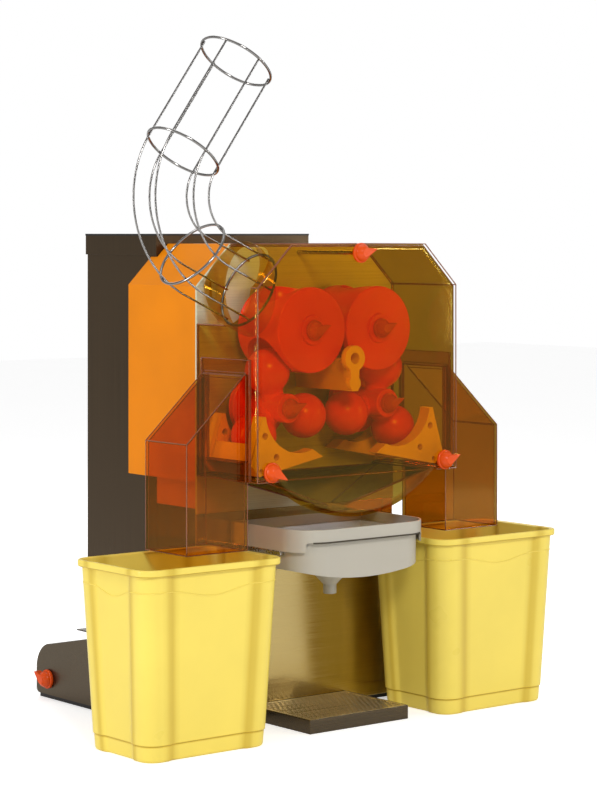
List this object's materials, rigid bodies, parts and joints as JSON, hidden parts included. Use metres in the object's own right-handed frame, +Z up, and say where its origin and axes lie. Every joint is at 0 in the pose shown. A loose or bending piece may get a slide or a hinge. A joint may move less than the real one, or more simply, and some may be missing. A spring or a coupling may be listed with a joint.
{
  "type": "citrus juicer",
  "caption": "Countertop citrus juicer: wire feeder, clear cover over cup and ball drums, peel chutes over side bins, juice tray and drip tray on a steel column.",
  "frame": {"origin": "middle of the base's footprint, on the counter", "axes": "+Z up, the cover and trays face -Y, +X to the viewer's right from the front"},
  "size_m": [0.8, 0.548, 1.025],
  "materials": {
    "base_steel": "satin, brushed along the width",
    "column_steel": "dark bronze-grey satin",
    "splash_steel": "brushed, warm grey",
    "black_plastic": "matt",
    "housing_orange": "semi-gloss",
    "plate_steel": "brushed",
    "bush_brass": "turned",
    "shaft_steel": "ground",
    "gear_nylon": "moulded, natural",
    "gearbox_aluminium": "cast",
    "motor_iron": "painted black",
    "drum_orange": "gloss",
    "knob_orange": "gloss",
    "guide_yellow": "semi-gloss",
    "blade_steel": "ground edge",
    "amber_clear": "clear, amber smoke tint",
    "tray_grey": "satin, light grey",
    "strainer_steel": "perforated sheet",
    "bin_yellow": "satin, pale yellow",
    "feeder_chrome": "bright"
  },
  "bodies": {
    "frame": {"base_shell": "base_steel", "base_plinth": "black_plastic", "deck_plates": "base_steel", "column_shell": "column_steel", "pedestal_shell": "column_steel", "splash_plate": "splash_steel", "column_cap": "column_steel", "rear_panel": "column_steel", "gear_housing": "housing_orange", "bearing_plate": "plate_steel", "rear_bearing_plate": "plate_steel", "plate_spacers": "plate_steel", "front_bushes": "bush_brass", "rear_bushes": "bush_brass", "reduction_gearbox": "gearbox_aluminium", "drive_motor": "motor_iron", "control_box": "black_plastic", "mains_inlet": "black_plastic", "knife_holder": "guide_yellow", "knife_blade": "blade_steel", "left_ejector": "guide_yellow", "right_ejector": "guide_yellow", "juice_funnel": "amber_clear", "feed_collar": "amber_clear", "tray_rails": "splash_steel"},
    "left_cup": {"left_cup_drum": "drum_orange", "left_upper_shaft": "shaft_steel", "left_upper_gear": "gear_nylon"},
    "right_cup": {"right_cup_drum": "drum_orange", "right_upper_shaft": "shaft_steel", "right_upper_gear": "gear_nylon"},
    "left_ball": {"left_ball_drum": "drum_orange", "left_lower_shaft": "shaft_steel", "left_lower_gear": "gear_nylon"},
    "right_ball": {"right_ball_drum": "drum_orange", "right_lower_shaft": "shaft_steel", "right_lower_gear": "gear_nylon"},
    "pinion": {"drive_pinion": "gear_nylon"},
    "left_cup_knob": {"left_upper_knob": "knob_orange"},
    "left_ball_knob": {"left_lower_knob": "knob_orange"},
    "right_cup_knob": {"right_upper_knob": "knob_orange"},
    "right_ball_knob": {"right_lower_knob": "knob_orange"},
    "feeder": {"wire_feeder": "feeder_chrome"},
    "cover": {"front_cover": "amber_clear", "left_chute": "amber_clear", "right_chute": "amber_clear"},
    "top_knob": {"top_cover_knob": "knob_orange", "top_cover_screw": "shaft_steel"},
    "left_knob": {"left_cover_knob": "knob_orange"},
    "right_knob": {"right_cover_knob": "knob_orange"},
    "tray": {"juice_tray": "tray_grey", "spout_nozzle": "tray_grey"},
    "strainer": {"pulp_strainer": "strainer_steel"},
    "drip": {"drip_tray": "splash_steel"},
    "grate": {"drip_grate": "splash_steel"},
    "bin_left": {"left_bin": "bin_yellow"},
    "bin_right": {"right_bin": "bin_yellow"},
    "base_knob_left": {"left_side_knob": "knob_orange"},
    "base_knob_right": {"right_side_knob": "knob_orange"},
    "rocker": {"mains_switch": "black_plastic"}
  },
  "joints": [
    {"name": "left_cup_spin", "type": "hinge", "parent": "frame", "child": "left_cup", "pos_m": [-0.065, -0.1775, 0.592], "axis": [0, 1, 0], "continuous": true},
    {"name": "right_cup_spin", "type": "hinge", "parent": "frame", "child": "right_cup", "pos_m": [0.065, -0.1775, 0.592], "axis": [0, 1, 0], "continuous": true},
    {"name": "left_ball_spin", "type": "hinge", "parent": "frame", "child": "left_ball", "pos_m": [-0.096, -0.1775, 0.476], "axis": [0, 1, 0], "continuous": true},
    {"name": "right_ball_spin", "type": "hinge", "parent": "frame", "child": "right_ball", "pos_m": [0.096, -0.1775, 0.476], "axis": [0, 1, 0], "continuous": true},
    {"name": "pinion_spin", "type": "hinge", "parent": "frame", "child": "pinion", "pos_m": [-0.01963, -0.1775, 0.42828], "axis": [0, 1, 0], "continuous": true},
    {"name": "left_cup_knob_turn", "type": "hinge", "parent": "left_cup", "child": "left_cup_knob", "pos_m": [-0.065, -0.3075, 0.592], "axis": [0, 1, 0], "continuous": true},
    {"name": "left_ball_knob_turn", "type": "hinge", "parent": "left_ball", "child": "left_ball_knob", "pos_m": [-0.096, -0.2875, 0.476], "axis": [0, 1, 0], "continuous": true},
    {"name": "right_cup_knob_turn", "type": "hinge", "parent": "right_cup", "child": "right_cup_knob", "pos_m": [0.065, -0.3075, 0.592], "axis": [0, 1, 0], "continuous": true},
    {"name": "right_ball_knob_turn", "type": "hinge", "parent": "right_ball", "child": "right_ball_knob", "pos_m": [0.096, -0.2875, 0.476], "axis": [0, 1, 0], "continuous": true},
    {"name": "feeder_slide", "type": "slide", "parent": "frame", "child": "feeder", "axis": [-0.9063, 0, 0.4226], "range_m": [0, 0.08]},
    {"name": "cover_slide", "type": "slide", "parent": "frame", "child": "cover", "axis": [0, -1, 0], "range_m": [0, 0.17]},
    {"name": "top_knob_turn", "type": "hinge", "parent": "cover", "child": "top_knob", "pos_m": [0, -0.3295, 0.707], "axis": [0, 1, 0], "continuous": true},
    {"name": "left_knob_turn", "type": "hinge", "parent": "cover", "child": "left_knob", "pos_m": [-0.168, -0.3295, 0.389], "axis": [0, 1, 0], "continuous": true},
    {"name": "right_knob_turn", "type": "hinge", "parent": "cover", "child": "right_knob", "pos_m": [0.168, -0.3295, 0.389], "axis": [0, 1, 0], "continuous": true},
    {"name": "tray_slide", "type": "slide", "parent": "frame", "child": "tray", "axis": [0, -1, 0], "range_m": [0, 0.16]},
    {"name": "strainer_lift", "type": "slide", "parent": "tray", "child": "strainer", "axis": [0, 0, 1], "range_m": [0, 0.012]},
    {"name": "drip_slide", "type": "slide", "parent": "frame", "child": "drip", "axis": [0, -1, 0], "range_m": [0, 0.15]},
    {"name": "grate_lift", "type": "slide", "parent": "drip", "child": "grate", "axis": [0, 0, 1], "range_m": [0, 0.06]},
    {"name": "left_bin_slide", "type": "slide", "parent": "frame", "child": "bin_left", "axis": [0, -1, 0], "range_m": [0, 0.25]},
    {"name": "right_bin_slide", "type": "slide", "parent": "frame", "child": "bin_right", "axis": [0, -1, 0], "range_m": [0, 0.25]},
    {"name": "left_base_knob_turn", "type": "hinge", "parent": "frame", "child": "base_knob_left", "pos_m": [-0.246, 0.1425, 0.032], "axis": [1, 0, 0], "continuous": true},
    {"name": "right_base_knob_turn", "type": "hinge", "parent": "frame", "child": "base_knob_right", "pos_m": [0.246, 0.1425, 0.032], "axis": [1, 0, 0], "continuous": true},
    {"name": "rocker_tilt", "type": "hinge", "parent": "frame", "child": "rocker", "pos_m": [0.015, 0.1765, 0.164], "axis": [1, 0, 0], "range_deg": [-6, 6]}
  ],
  "couplings": [
    {"joint": "right_cup_spin", "follows": "left_cup_spin", "ratio": -1},
    {"joint": "left_ball_spin", "follows": "left_cup_spin", "ratio": -1},
    {"joint": "right_ball_spin", "follows": "left_cup_spin", "ratio": 1},
    {"joint": "pinion_spin", "follows": "left_cup_spin", "ratio": 2}
  ]
}
